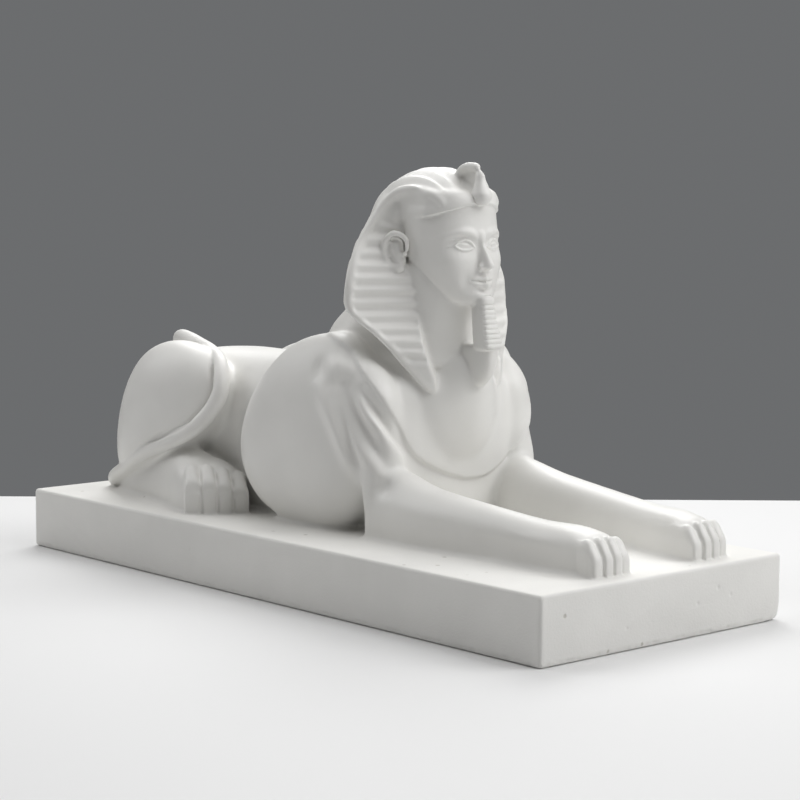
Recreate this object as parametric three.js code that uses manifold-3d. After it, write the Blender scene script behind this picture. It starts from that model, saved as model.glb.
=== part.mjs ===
// A lying sphinx cast in plaster in one piece with its plinth.
// Millimetres, +Z up. The origin is the middle of the plinth's underside, and the sphinx looks along -Y.
import * as THREE from 'three';
import { mergeVertices } from 'three/addons/utils/BufferGeometryUtils.js';
import Module from 'manifold-3d';

const wasm = await Module();
wasm.setup();

// Plinth
const plinthWidth = 182.7;
const plinthLength = 450;
const plinthHeight = 36.3;
const plinthEdge = 1.6;

// The figure's middle plane stands a little to its left in front and comes back to the middle behind
const frontShift = 11;
const rearShift = 2;
const shiftStart = -20;
const shiftEnd = 90;

// Forms that lie along Y, one row a station:
// y, half width, top, bottom, height where it is widest, squareness, place of its middle across
const trunk = [
  [-58, 0, 94, 94, 94, 2, 0],
  [-56, 28, 116, 68, 94, 2, 0],
  [-50, 46, 131, 44, 94, 2.1, 0],
  [-34, 56, 140, 30, 94, 2.2, 0],
  [-6, 58, 142, 20, 90, 2.2, 0],
  [26, 54, 137, 20, 88, 2.2, 0],
  [62, 45, 130, 20, 86, 2.2, 0],
  [95, 41, 128, 20, 84, 2.2, 0],
  [135, 41, 127, 20, 82, 2.2, 0],
  [168, 41, 123, 20, 80, 2.2, 0],
  [190, 33, 104, 24, 70, 2.1, 0],
  [199, 20, 84, 30, 60, 2, 0],
  [202, 0, 58, 58, 58, 2, 0],
];
const shoulder = [
  [-50, 0, 96, 96, 96, 2, 51],
  [-44, 12, 124, 68, 92, 2, 51],
  [-26, 20, 143, 44, 88, 2.1, 50],
  [0, 25, 144, 28, 84, 2.2, 48],
  [26, 25, 137, 28, 82, 2.2, 46],
  [46, 20, 123, 38, 80, 2.1, 43.5],
  [60, 11, 104, 56, 80, 2, 41],
  [66, 0, 82, 82, 82, 2, 40],
];
const thigh = [
  [95, 0, 108, 108, 108, 2, 46],
  [100, 12, 122, 92, 107, 2, 46.5],
  [114, 21, 132, 76, 102, 2.1, 47],
  [140, 25, 136.5, 60, 96, 2.1, 48],
  [164, 24, 128, 49, 84, 2.1, 47],
  [184, 18, 106, 42, 68, 2, 44.5],
  [193, 10, 84, 42, 60, 2, 42],
  [197, 0, 58, 58, 58, 2, 42],
];
const foreleg = [
  [-207, 0, 50, 50, 50, 2, 36.5],
  [-205, 10, 55, 20, 48, 2.6, 36.5],
  [-198, 13.5, 59, 20, 46, 2.8, 37],
  [-182, 14.5, 60, 20, 46, 2.6, 39],
  [-162, 13.5, 60.5, 20, 46, 2.4, 42],
  [-128, 14.5, 64, 20, 46, 2.3, 45.5],
  [-90, 16.5, 69, 20, 46, 2.3, 47.5],
  [-62, 16.5, 75, 20, 48, 2.3, 47.5],
  [-50, 14, 73, 20, 48, 2.3, 49],
  [-46, 0, 54, 54, 54, 2, 50],
];
const hindFoot = [
  [80, 0, 48, 48, 48, 2, 64],
  [84, 15, 60, 20, 48, 2.6, 64],
  [97, 17, 66, 20, 46, 2.8, 58],
  [114, 15.5, 68, 20, 44, 2.6, 52],
  [140, 14, 62, 20, 42, 2.4, 43],
  [165, 12, 52, 20, 40, 2.3, 35],
  [180, 8, 46, 26, 40, 2.1, 31],
  [186, 0, 38, 38, 38, 2, 30],
];
// The left haunch lies a little forward of the right one and lower
const leftHaunch = { forward: 10, lower: 4.5 };

// Upright forms, one row a station:
// z, half width, front, back, y where it is widest, squareness, place of its middle across
const upperArm = [
  [28, 0, -52, -52, -52, 2, 52],
  [33, 10, -60, -45, -52, 2.4, 52],
  [54, 12, -60, -45, -50, 2.3, 52],
  [72, 12.5, -58, -40, -47, 2.2, 51.5],
  [94, 13.5, -56, -26, -41, 2.2, 50.5],
  [114, 14, -53, -8, -33, 2.2, 50],
  [132, 12.5, -46, 4, -24, 2.1, 49.5],
  [145, 8, -34, 2, -16, 2, 48.5],
  [149, 0, -14, -14, -14, 2, 47.5],
];
const neck = [
  [104, 0, -20, -20, -20, 2, 0],
  [108, 44, -48, 26, -14, 2, 0],
  [130, 44, -48, 26, -14, 2, 0],
  [144, 41, -47, 22, -14, 2, 0],
  [156, 32, -50, 16, -16, 2, 0],
  [170, 25, -56, 8, -26, 2, 0],
  [180, 0, -34, -34, -34, 2, 0],
];
const head = [
  [165, 0, -64, -64, -64, 2, 0],
  [166.2, 9, -74, -50, -62, 2.2, 0],
  [171, 17, -77.5, -42, -56, 2.2, 0],
  [179, 22, -76.5, -38, -52, 2.2, 0],
  [189, 26, -75.5, -34, -48, 2.2, 0],
  [200, 28.5, -74, -32, -46, 2.2, 0],
  [209, 29.5, -75, -32, -46, 2.2, 0],
  [219, 28.5, -73.5, -32, -46, 2.1, 0],
  [226, 0, -44, -44, -44, 2, 0],
];
const cap = [
  [211, 0, -38, -38, -38, 2, 0],
  [212, 31.5, -60, -2, -38, 2.2, 0],
  [219, 32.5, -74, -3, -38, 2.2, 0],
  [226, 30.5, -73.5, -5, -38, 2.2, 0],
  [233, 24, -64, -13, -38, 2.1, 0],
  [238.5, 14.5, -51, -24, -38, 2, 0],
  [240.5, 0, -38, -38, -38, 2, 0],
];
const nape = [
  [128, 0, -8, -8, -8, 2, 0],
  [132, 26, -24, 34, -6, 2.1, 0],
  [148, 34, -36, 24, -16, 2.2, 0],
  [165, 42, -42, 15, -24, 2.2, 0],
  [182, 41, -44, 11, -28, 2.2, 0],
  [198, 37.5, -46, 7, -31, 2.2, 0],
  [212, 34, -48, 3, -34, 2.2, 0],
  [226, 28, -48, -3, -36, 2.1, 0],
  [236, 14, -44, -18, -36, 2, 0],
  [238, 0, -34, -34, -34, 2, 0],
];
// The side of the head cloth and the lappet that it runs down into
const wing = [
  [115, 0, -54, -54, -54, 2, 22],
  [118, 5, -60, -46, -54, 2.6, 22.5],
  [128, 7.5, -60, -38, -51, 3, 25],
  [138, 10, -57, -30, -47, 3, 28],
  [148, 12.5, -52, -22, -41, 3, 31],
  [157, 17.5, -47, -16, -35, 3, 36],
  [165, 19, -45, -13, -33, 3, 38],
  [180, 16.5, -45, -11, -32, 3, 36.5],
  [195, 12.5, -47, -9, -33, 2.8, 33],
  [208, 8.5, -52, -10, -36, 2.4, 29],
  [217, 0, -38, -38, -38, 2, 27],
];
const pleatPitch = 6.5;
const pleatDepth = 0.9;

// The broad collar: its edge seen from the front, one side of the middle, across and height
const collarEdge = [[0, 66], [30, 74], [50, 97], [60, 120], [62, 140], [50, 152]];
const collarRise = 1.9;
const collarBack = -10;

// Toes seen from the side, from the knuckle: along Y, and down as a share of the knuckle's height
const toeOutline = [[1, 0], [-4, 0.12], [-8, 0.38], [-8.6, 0.6], [-8, 0.86], [-6, 1.1]];
const toeEdge = 1.6;
const frontToes = {
  middle: 36.5, knuckle: [-203, 23.5], reach: 10, pitch: 7.3, width: 7.2, setBack: [0, 0, 0.3, 1.5], turn: 0,
};
const hindToes = {
  middle: 64, knuckle: [80, 27], reach: 22, pitch: 10.6, width: 9.8, setBack: [0, 0, 1, 3], turn: 0.38,
};

// The tail, round, from the back of the rump round the right thigh and up on to the rump: x, y, z, radius
const tail = [
  [2, 194, 58, 6], [-14, 204, 46, 5.6], [-34, 208, 42, 5.4], [-50, 195, 46, 5.2],
  [-61, 168, 54, 5], [-67, 140, 64, 4.9], [-68, 116, 74, 4.9], [-65, 98, 84, 4.9],
  [-59, 89, 98, 4.9], [-52, 91, 112, 4.9], [-45, 101, 122, 4.9], [-37, 118, 127, 5],
  [-28, 136, 130.5, 5], [-19, 155, 133, 6], [-12, 171, 130.5, 6.6],
];

// Cobra over the brow, across the middle plane: y, z, radius
const cobra = [
  [-66, 221, 3], [-71, 227, 3.4], [-71.5, 235, 3.2], [-70, 240, 2.8], [-63, 241.2, 2.6],
  [-56, 238, 2.6], [-54, 232.5, 2.6], [-59, 228, 2.5], [-64, 222, 2.5],
];

// The face, built on equal thirds from the chin to the edge of the head cloth
const chinHeight = 165;
const third = 19.2;
const noseBase = chinHeight + third;
const browHeight = chinHeight + 2 * third;
const eyeHeight = browHeight - 4.6;
const mouthHeight = noseBase - third / 3;
const nose = [
  [noseBase - 1.5, 0, -76, -76, -76, 2, 0],
  [noseBase, 5.4, -83.5, -72, -77, 2, 0],
  [noseBase + 3, 5.8, -84.5, -70, -77, 2, 0],
  [noseBase + 9, 3.8, -81, -68, -75, 2, 0],
  [browHeight - 3, 3.2, -77.5, -66, -73, 2, 0],
  [browHeight + 2, 0, -73, -73, -73, 2, 0],
];
const brow = [[3.5, -75, browHeight, 1.4], [12, -74.5, browHeight + 2.6, 1.7], [22, -66.5, browHeight, 1.2]];
const eye = [[5.6, -72.4, eyeHeight - 0.4, 1], [11.5, -71, eyeHeight, 3.4], [18, -66.8, eyeHeight, 1]];
const upperLip = [
  [0, -78.6, mouthHeight + 1.6, 1.9], [4.5, -77.4, mouthHeight + 1.3, 1.6], [9, -74, mouthHeight, 0.8],
];
const lowerLip = [
  [0, -78, mouthHeight - 2.2, 2.3], [4, -76.8, mouthHeight - 1.9, 2], [8, -74, mouthHeight - 0.4, 0.8],
];
const ear = [
  [31, -51, eyeHeight - 4, 1.6], [32.5, -50.5, eyeHeight + 3.5, 1.8], [35.5, -44, browHeight + 1.5, 2],
  [37.5, -37.5, eyeHeight + 2, 2], [36.5, -40, eyeHeight - 8, 1.9], [33, -47, noseBase - 3, 2.6],
  [31, -50, noseBase, 1.8],
];
const earHollow = [[31, -46, noseBase - 1, 3], [32.5, -44, eyeHeight, 3.6], [31, -45, browHeight, 2.4]];

// Beard: bands under the chin, sloping forward
const beard = {
  top: 167, bottom: 140.5, bands: 8, half: [5, 6.4], front: [-81, -88], back: [-70, -76], groove: 0.6,
};

// ---- helpers ----

// Draws a smooth curve through the rows and cuts it into evenly spaced rings.
function ringsThrough(rows, count) {
  const reach = [0];
  for (let i = 1; i < rows.length; i += 1) {
    const steps = rows[i].map((value, k) => (k === 5 ? 0 : value - rows[i - 1][k]));
    reach.push(reach[i - 1] + Math.hypot(...steps));
  }
  const slope = (i, k) => {
    const before = Math.max(i - 1, 0);
    const after = Math.min(i + 1, rows.length - 1);
    return (rows[after][k] - rows[before][k]) / (reach[after] - reach[before]);
  };
  const rings = [];
  let piece = 0;
  for (let n = 0; n <= count; n += 1) {
    const place = (reach[rows.length - 1] * n) / count;
    while (piece < rows.length - 2 && reach[piece + 1] < place) piece += 1;
    const span = reach[piece + 1] - reach[piece];
    const t = (place - reach[piece]) / span;
    const [t2, t3] = [t * t, t * t * t];
    rings.push(rows[piece].map((value, k) => (
      (2 * t3 - 3 * t2 + 1) * value + (t3 - 2 * t2 + t) * span * slope(piece, k)
      + (3 * t2 - 2 * t3) * rows[piece + 1][k] + (t3 - t2) * span * slope(piece + 1, k))));
  }
  return rings;
}

// One point of a rounded-square section of half size 1.
function onSection(angle, squareness) {
  const bend = (value) => Math.sign(value) * Math.abs(value) ** (2 / squareness);
  return [bend(Math.cos(angle)), bend(Math.sin(angle))];
}

// A closed body with its poles at the first and the last ring.
function bodyOfRings(rings, around, placePoint) {
  const body = new THREE.SphereGeometry(1, around, rings.length - 1);
  const points = body.attributes.position;
  rings.forEach((ring, row) => {
    for (let step = 0; step <= around; step += 1) {
      const [across, upward] = onSection((2 * Math.PI * (step % around)) / around, ring[5]);
      points.setXYZ(row * (around + 1) + step, ...placePoint(ring, across, upward));
    }
  });
  return body;
}

// The reach of a section to one side of where it is widest.
const toSide = (part, plus, minus, widest) => widest + part * (part > 0 ? plus - widest : widest - minus);

function lying(rows, side, around, along) {
  return bodyOfRings(ringsThrough(rows, along), around, (ring, across, upward) => {
    const [y, half, top, bottom, widest, , middle] = ring;
    return [side * middle + half * across, y, toSide(upward, top, bottom, widest)];
  });
}

function uprightBody(rings, side, around) {
  return bodyOfRings(rings, around, (ring, across, upward) => {
    const [z, half, front, back, widest, , middle] = ring;
    return [side * middle - half * across, toSide(upward, back, front, widest), z];
  });
}

const upright = (rows, side, around, along) => uprightBody(ringsThrough(rows, along), side, around);

// A round rope through a few points, with a radius at each: x, y, z, radius.
function rope(rows, around, along) {
  const path = new THREE.CatmullRomCurve3(rows.map(([x, y, z]) => new THREE.Vector3(x, y, z)));
  const frames = path.computeFrenetFrames(along);
  const body = new THREE.SphereGeometry(1, around, along);
  const points = body.attributes.position;
  for (let row = 0; row <= along; row += 1) {
    const place = path.getPointAt(row / along);
    const at = path.getUtoTmapping(row / along) * (rows.length - 1);
    const low = Math.min(Math.floor(at), rows.length - 2);
    const end = row === 0 || row === along;
    const radius = end ? 0 : THREE.MathUtils.lerp(rows[low][3], rows[low + 1][3], at - low);
    for (let step = 0; step <= around; step += 1) {
      const angle = (2 * Math.PI * (step % around)) / around;
      const spot = place.clone()
        .addScaledVector(frames.normals[row], radius * Math.cos(angle))
        .addScaledVector(frames.binormals[row], radius * Math.sin(angle));
      points.setXYZ(row * (around + 1) + step, spot.x, spot.y, spot.z);
    }
  }
  return body;
}

// The enclosed volume, which is negative on a body that is inside out.
function volumeOf(geometry) {
  const [a, b, c] = [new THREE.Vector3(), new THREE.Vector3(), new THREE.Vector3()];
  let total = 0;
  for (let i = 0; i < geometry.index.count; i += 3) {
    a.fromBufferAttribute(geometry.attributes.position, geometry.index.getX(i));
    b.fromBufferAttribute(geometry.attributes.position, geometry.index.getX(i + 1));
    c.fromBufferAttribute(geometry.attributes.position, geometry.index.getX(i + 2));
    total += a.dot(b.cross(c)) / 6;
  }
  return total;
}

function solidOf(geometry) {
  const plain = geometry.clone();
  plain.deleteAttribute('normal');
  plain.deleteAttribute('uv');
  const welded = mergeVertices(plain, 1e-3);
  const corners = Uint32Array.from(welded.index.array);
  if (volumeOf(welded) < 0) corners.reverse();
  const vertProperties = Float32Array.from(welded.attributes.position.array);
  const mesh = new wasm.Mesh({ numProp: 3, vertProperties, triVerts: corners });
  mesh.merge();
  return new wasm.Manifold(mesh);
}

function geometryOf(solid) {
  const mesh = solid.getMesh();
  const geometry = new THREE.BufferGeometry();
  geometry.setAttribute('position', new THREE.BufferAttribute(mesh.vertProperties, 3));
  geometry.setIndex(new THREE.BufferAttribute(mesh.triVerts, 1));
  return geometry;
}

function join(geometries) {
  return geometries.map(solidOf).reduce((sum, next) => sum.add(next));
}

function onBothSides(make) {
  return [make(-1), make(1)].flat();
}

// ---- the figure ----

function toes(side, { middle, knuckle, reach, pitch, width, setBack, turn }) {
  const [place, height] = knuckle;
  const front = toeOutline.map(([y, drop]) => new THREE.Vector2(y, -drop * height));
  const base = front[front.length - 1].y;
  const outline = new THREE.Shape([...front, new THREE.Vector2(reach, base), new THREE.Vector2(reach, 0)]);
  const core = width - 2 * toeEdge;
  return setBack.map((back, n) => {
    const toe = new THREE.ExtrudeGeometry(outline, {
      depth: core, bevelThickness: toeEdge, bevelSize: toeEdge, bevelOffset: -toeEdge, bevelSegments: 1,
    });
    toe.rotateX(Math.PI / 2);
    toe.rotateZ(Math.PI / 2);
    toe.translate(side * (n - (setBack.length - 1) / 2) * pitch - core / 2, back, 0);
    toe.rotateZ(side * turn);
    toe.translate(side * middle, place, plinthHeight + height);
    return toe;
  });
}

function haunch(side) {
  const { forward, lower } = side > 0 ? leftHaunch : { forward: 0, lower: 0 };
  const rows = thigh.map(([y, half, top, bottom, widest, ...rest]) => (
    [y - forward, half, top - lower, bottom - lower, widest - lower, ...rest]));
  return lying(rows, side, 18, 11);
}

// The side of the head cloth with level pleats: every second ring is a groove.
function pleatedWing(side) {
  const [low, high] = [wing[0][0], wing[wing.length - 1][0]];
  const count = 2 * Math.round((high - low) / pleatPitch);
  const rings = ringsThrough(wing, count).map((ring, n) => {
    const [z, half, front, back, widest, squareness, middle] = ring;
    const inset = n % 2 === 1 ? pleatDepth : 0;
    return [z, Math.max(half - inset, 0), front + inset, back, widest, squareness, middle];
  });
  return uprightBody(rings, side, 12);
}

function bandedBeard() {
  const { top, bottom, bands, half, front, back, groove } = beard;
  const count = 2 * bands;
  const rings = [];
  for (let n = 0; n <= count; n += 1) {
    const t = n / count;
    const inset = n % 2 === 1 ? 0 : groove;
    const along = (pair) => THREE.MathUtils.lerp(pair[0], pair[1], t);
    const [height, fore, aft] = [along([top, bottom]), along(front) + inset, along(back)];
    rings.push([height, along(half) - inset, fore, aft, (along(front) + aft) / 2, 3, 0]);
  }
  const cover = (ring, z) => [z, 0, ring[4], ring[4], ring[4], 2, 0];
  const closed = [cover(rings[0], top + 1), ...rings, cover(rings[count], bottom - 1)].reverse();
  return uprightBody(closed, 1, 8);
}

// The same rows, a little larger all round.
function swollen(rows, by) {
  const last = rows.length - 1;
  return rows.map(([at, half, high, low, widest, squareness, middle], n) => {
    const outward = Math.sign(high - low) * by;
    const shift = (n === 0 ? -by : 0) + (n === last ? by : 0);
    return [at + shift, half > 0 ? half + by : 0, high + outward, low - outward, widest, squareness, middle];
  });
}

function collar() {
  const right = collarEdge.slice(1).map(([x, z]) => new THREE.Vector2(-x, z)).reverse();
  const left = collarEdge.map(([x, z]) => new THREE.Vector2(x, z));
  const curve = new THREE.SplineCurve([...right, ...left]);
  const outline = new THREE.Shape(curve.getPoints(24));
  const prism = new THREE.ExtrudeGeometry(outline, { depth: 90, bevelEnabled: false });
  prism.rotateX(Math.PI / 2);
  prism.translate(0, collarBack, 0);
  const under = [
    lying(swollen(trunk, collarRise), 1, 22, 18),
    ...onBothSides((side) => [
      lying(swollen(shoulder, collarRise), side, 16, 10),
      upright(swollen(upperArm, collarRise), side, 12, 9),
    ]),
  ];
  return join(under).intersect(solidOf(prism));
}

function bodyForms() {
  return [
    lying(trunk, 1, 22, 18),
    ...onBothSides((side) => [
      lying(shoulder, side, 16, 10),
      haunch(side),
      lying(foreleg, side, 12, 15),
      lying(hindFoot, side, 12, 10),
      upright(upperArm, side, 12, 9),
      ...toes(side, frontToes),
      ...toes(side, hindToes),
    ]),
  ];
}

function faceRopes() {
  const across = (rows, side) => rows.map(([x, ...rest]) => [side * x, ...rest]);
  const lip = (rows) => [...across(rows.slice(1), -1).reverse(), ...rows];
  const paired = onBothSides((side) => [
    rope(across(brow, side), 6, 6), rope(across(eye, side), 8, 6),
    rope(across(ear, side), 6, 14), rope(across(earHollow, side), 6, 5),
  ]);
  return [...paired, rope(lip(upperLip), 6, 8), rope(lip(lowerLip), 6, 8)];
}

function headForms() {
  return [
    upright(neck, 1, 14, 6),
    upright(head, 1, 18, 10),
    upright(cap, 1, 20, 9),
    upright(nape, 1, 18, 9),
    ...onBothSides((side) => [pleatedWing(side)]),
    bandedBeard(),
    upright(nose, 1, 12, 10),
    ...faceRopes(),
    rope(cobra.map(([y, z, radius]) => [0, y, z, radius]), 8, 18),
  ];
}

// Moves the figure's middle plane from the front shift to the rear shift.
function setOnPlinth(geometry) {
  const points = geometry.attributes.position;
  for (let i = 0; i < points.count; i += 1) {
    const ease = THREE.MathUtils.smoothstep(points.getY(i), shiftStart, shiftEnd);
    points.setX(i, points.getX(i) + THREE.MathUtils.lerp(frontShift, rearShift, ease));
  }
  return geometry;
}

// The plinth, a block with its edges broken all round.
function plinthBlock() {
  const [x, y, cut] = [plinthWidth / 2, plinthLength / 2, plinthEdge];
  const corners = [[x, y - cut], [x - cut, y], [cut - x, y], [-x, y - cut], [-x, cut - y], [cut - x, -y],
    [x - cut, -y], [x, cut - y]];
  const outline = new THREE.Shape(corners.map(([a, b]) => new THREE.Vector2(a, b)));
  const block = new THREE.ExtrudeGeometry(outline, {
    depth: plinthHeight - 2 * cut, bevelThickness: cut, bevelSize: cut, bevelOffset: -cut, bevelSegments: 1,
  });
  block.translate(0, 0, cut);
  return block;
}

const symmetric = join([...bodyForms(), ...headForms()]).add(collar());
const figure = setOnPlinth(geometryOf(symmetric));

const cast = geometryOf(join([plinthBlock(), figure, rope(tail, 8, 34)]));
cast.computeVertexNormals();

const plaster = new THREE.MeshStandardMaterial({ color: 0xe9e7e2, roughness: 0.55, metalness: 0 });
const statue = new THREE.Mesh(cast, plaster);
statue.name = 'sphinx_statue';

const group = new THREE.Group();
group.add(statue);

export default group;
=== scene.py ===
import math

import bmesh
import bpy
import numpy as np
from mathutils import Matrix, Vector


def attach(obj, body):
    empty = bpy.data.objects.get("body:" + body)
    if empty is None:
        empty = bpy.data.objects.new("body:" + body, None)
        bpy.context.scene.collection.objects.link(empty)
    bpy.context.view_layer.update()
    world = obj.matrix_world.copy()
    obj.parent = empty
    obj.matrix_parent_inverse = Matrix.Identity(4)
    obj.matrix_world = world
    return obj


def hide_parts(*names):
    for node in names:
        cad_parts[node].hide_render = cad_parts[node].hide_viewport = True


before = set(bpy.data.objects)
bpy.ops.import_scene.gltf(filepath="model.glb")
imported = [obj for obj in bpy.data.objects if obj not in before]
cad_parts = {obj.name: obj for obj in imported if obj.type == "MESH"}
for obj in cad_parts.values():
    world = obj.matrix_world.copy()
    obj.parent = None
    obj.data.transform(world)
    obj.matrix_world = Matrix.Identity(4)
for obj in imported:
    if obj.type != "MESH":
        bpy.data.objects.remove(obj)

scene = bpy.context.scene
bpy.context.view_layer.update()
print("frame loaded")

# Shapes are worked out in millimetres. x = 0 is the sphinx's own middle plane.
# +Z is up and it looks along -Y.
# It stands on the plinth a little to its left in front, and comes back to the plinth's middle behind.
plinth = {
    "width": 182.7, "length": 450.0, "height": 36.3, "edge": 1.9,
    "chip": {"spot": [91.4, -225.0, 0.0], "size": [6, 6, 5], "depth": 1.3},
    "ragged": {"depth": 0.45, "from": 0.3, "to": 3.2, "even": 0.7},
}
stance = {
    "frontShift": 11, "rearShift": 2, "pawShift": 8,
    "rearEase": [-20, 90], "pawEase": [90, 205],
}
grain = {"form": 1.6, "cloth": 1.1, "fine": 0.8, "triangles": 190000}


def rise(value, low, high):
    t = np.clip((value - low) / (high - low), 0, 1)
    return t * t * (3 - 2 * t)


def middleAt(y):
    toRear = rise(y, *stance["rearEase"])
    toPaws = rise(-y, *stance["pawEase"])
    front, rear, paws = stance["frontShift"], stance["rearShift"], stance["pawShift"]
    return front + (rear - front) * toRear + (paws - front) * toPaws


# Values on a smooth curve through the rows, at shares of its length.
# Squareness (column 5) isn't a length.
def between(rows, shares):
    table = np.array(rows, float)
    steps = np.diff(table, axis=0)
    if table.shape[1] == 7:
        steps[:, 5] = 0
    reach = np.concatenate([[0], np.cumsum(np.linalg.norm(steps, axis=1))])
    ends = np.array([max(i - 1, 0) for i in range(len(table))])
    nexts = np.array([min(i + 1, len(table) - 1) for i in range(len(table))])
    slope = (table[nexts] - table[ends]) / (reach[nexts] - reach[ends])[:, None]
    place = np.clip(shares, 0, 1) * reach[-1]
    low = np.clip(np.searchsorted(reach, place, side="right") - 1, 0, len(table) - 2)
    span = (reach[low + 1] - reach[low])[:, None]
    t = (place - reach[low])[:, None] / span
    t2, t3 = t * t, t * t * t
    return ((2 * t3 - 3 * t2 + 1) * table[low] + (t3 - 2 * t2 + t) * span * slope[low]
            + (3 * t2 - 2 * t3) * table[low + 1] + (t3 - t2) * span * slope[low + 1])


def bent(value, squareness):
    return np.sign(value) * np.abs(value) ** (2 / squareness)


def toSide(part, plus, minus, widest):
    return widest + part * np.where(part > 0, plus - widest, widest - minus)


# A row in full: two or three numbers stand for a closed end, and a middle left out is 0.
def fullRow(row):
    if len(row) < 4:
        at, level, middle = [*row, 0][:3]
        return [at, 0, level, level, level, 2, middle]
    return [*row, 0][:7]


# Rows moved along and up, with a middle of their own if one is given.
def movedRows(rows, along, up, ownMiddle=None):
    return [[at + along, half, top + up, bottom + up, widest + up, square,
             middle if ownMiddle is None else ownMiddle]
            for at, half, top, bottom, widest, square, middle in map(fullRow, rows)]


def meshFrom(form, name="form"):
    data = bpy.data.meshes.new(name)
    form.to_mesh(data)
    form.free()
    return data


def addObject(name, data):
    made = bpy.data.objects.new(name, data)
    scene.collection.objects.link(made)
    return made


def modified(data, kind, **settings):
    holder = addObject("form", data)
    modifier = holder.modifiers.new("form", kind)
    for name, value in settings.items():
        setattr(modifier, name, value)
    done = bpy.data.meshes.new_from_object(holder.evaluated_get(bpy.context.evaluated_depsgraph_get()))
    bpy.data.objects.remove(holder)
    return done


def bevelAll(form, width):
    bmesh.ops.bevel(form, geom=form.edges[:], offset=width, affect="EDGES", segments=3, profile=0.5,
                    material=-1)


# A ball to be shaped: its mesh, its vertices, and how far down and round it each lies.
def newBall(around, along):
    form = bmesh.new()
    made = bmesh.ops.create_uvsphere(form, u_segments=around, v_segments=along, radius=1)["verts"]
    unit = np.array([v.co for v in made])
    down = np.arccos(np.clip(unit[:, 2], -1, 1)) / np.pi
    return form, made, down, np.arctan2(unit[:, 1], unit[:, 0])


# Adds a form, shaped in a small mesh of its own, to the mesh of the whole.
def addTo(mesh, form, made=(), spots=()):
    for vertex, spot in zip(made, spots):
        vertex.co = spot
    data = meshFrom(form)
    mesh.from_mesh(data)
    bpy.data.meshes.remove(data)


# A closed form through rings of rows, swung by turn round pivot.
# Lying rows: y, half, top, bottom, widest, squareness, middle.
# Upright rows: z, half, front, back, widest, squareness, middle.
def addLoft(mesh, rows, side=1, lying=True, around=56, along=72, turn=0, pivot=(0, 0)):
    form, made, down, angle = newBall(around, along)
    at, half, plus, minus, widest, squareness, middle = between([*map(fullRow, rows)], down).T
    half = np.maximum(half, 0)
    across = bent(np.cos(angle), squareness)
    other = bent(np.sin(angle), squareness)
    x = side * middle + half * across
    if lying:
        spots = np.stack([x, at, toSide(other, plus, minus, widest)], 1)
    else:
        spots = np.stack([x, toSide(-other, minus, plus, widest), at], 1)
    sideways, onward = spots[:, 0].copy(), spots[:, 1].copy()
    spots[:, 0] = pivot[0] + sideways * math.cos(turn) - onward * math.sin(turn)
    spots[:, 1] = pivot[1] + sideways * math.sin(turn) + onward * math.cos(turn)
    spots[:, 0] += middleAt(spots[:, 1])
    addTo(mesh, form, made, spots)


# A rope through points with a radius at each, its ends rounded.
def addRope(mesh, rows, around=20, along=90, side=1):
    form, made, down, angle = newBall(around, along)
    ring = np.rint(down * along).astype(int)
    path = between(rows, np.linspace(0, 1, along + 1))
    path[:, 0] = side * path[:, 0] + middleAt(path[:, 1])
    centre, radius = path[:, :3], path[:, 3].copy()
    travel = np.concatenate([[0], np.cumsum(np.linalg.norm(np.diff(centre, axis=0), axis=1))])
    toEnd = np.minimum(travel, travel[-1] - travel) / radius
    radius *= np.sqrt(np.clip(1 - np.clip(1 - toEnd, 0, 1) ** 2, 0, 1))
    tangent = np.gradient(centre, axis=0)
    tangent /= np.linalg.norm(tangent, axis=1)[:, None]
    normal = np.empty_like(tangent)
    # any way that no rope runs along
    start = np.cross(tangent[0], [0.31, 0.17, 0.94])
    for i, way in enumerate(tangent):
        start = start - way * start.dot(way)
        start /= np.linalg.norm(start)
        normal[i] = start
    other = np.cross(tangent, normal)
    spots = centre[ring] + radius[ring, None] * (
        np.cos(angle)[:, None] * normal[ring] + np.sin(angle)[:, None] * other[ring])
    addTo(mesh, form, made, spots)


# The forms fused into one closed skin of even squares.
def fused(mesh, size):
    data = meshFrom(mesh)
    skin = modified(data, "REMESH", mode="VOXEL", voxel_size=size)
    bpy.data.meshes.remove(data)
    return skin


def readOut(items, name, wide, kind=float):
    values = np.empty(len(items) * wide, kind)
    items.foreach_get(name, values)
    return values.reshape(-1, wide)


def readSkin(mesh):
    points, edges = readOut(mesh.vertices, "co", 3), readOut(mesh.edges, "vertices", 2, np.int32)
    near = np.bincount(edges.ravel(), minlength=len(points))[:, None]
    return {"mesh": mesh, "points": points, "edges": edges, "near": near}


def findNormals(skin):
    mesh = skin["mesh"]
    mesh.vertices.foreach_set("co", skin["points"].ravel())
    mesh.update()
    skin["normals"] = readOut(mesh.vertex_normals, "vector", 3, np.float32).astype(float)


def neighbourMean(skin, values):
    a, b = skin["edges"].T
    count = len(values)
    total = [np.bincount(a, values[b, k], count) + np.bincount(b, values[a, k], count)
             for k in range(values.shape[1])]
    return np.stack(total, 1) / skin["near"]


# Fills hollows by the share valley and wears crests by the share crest.
# Each is a number or one value a vertex.
def soften(skin, rounds, valley, crest):
    for turn in range(rounds):
        if turn % 4 == 0:
            findNormals(skin)
        pull = neighbourMean(skin, skin["points"]) - skin["points"]
        outward = (pull * skin["normals"]).sum(1)
        skin["points"] += (0.5 * np.where(outward > 0, valley, crest))[:, None] * pull


def inOwnFrame(skin):
    own = skin["points"].copy()
    own[:, 0] -= middleAt(own[:, 1])
    return own


def raiseBy(skin, amount):
    skin["points"] += skin["normals"] * amount[:, None]


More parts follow.
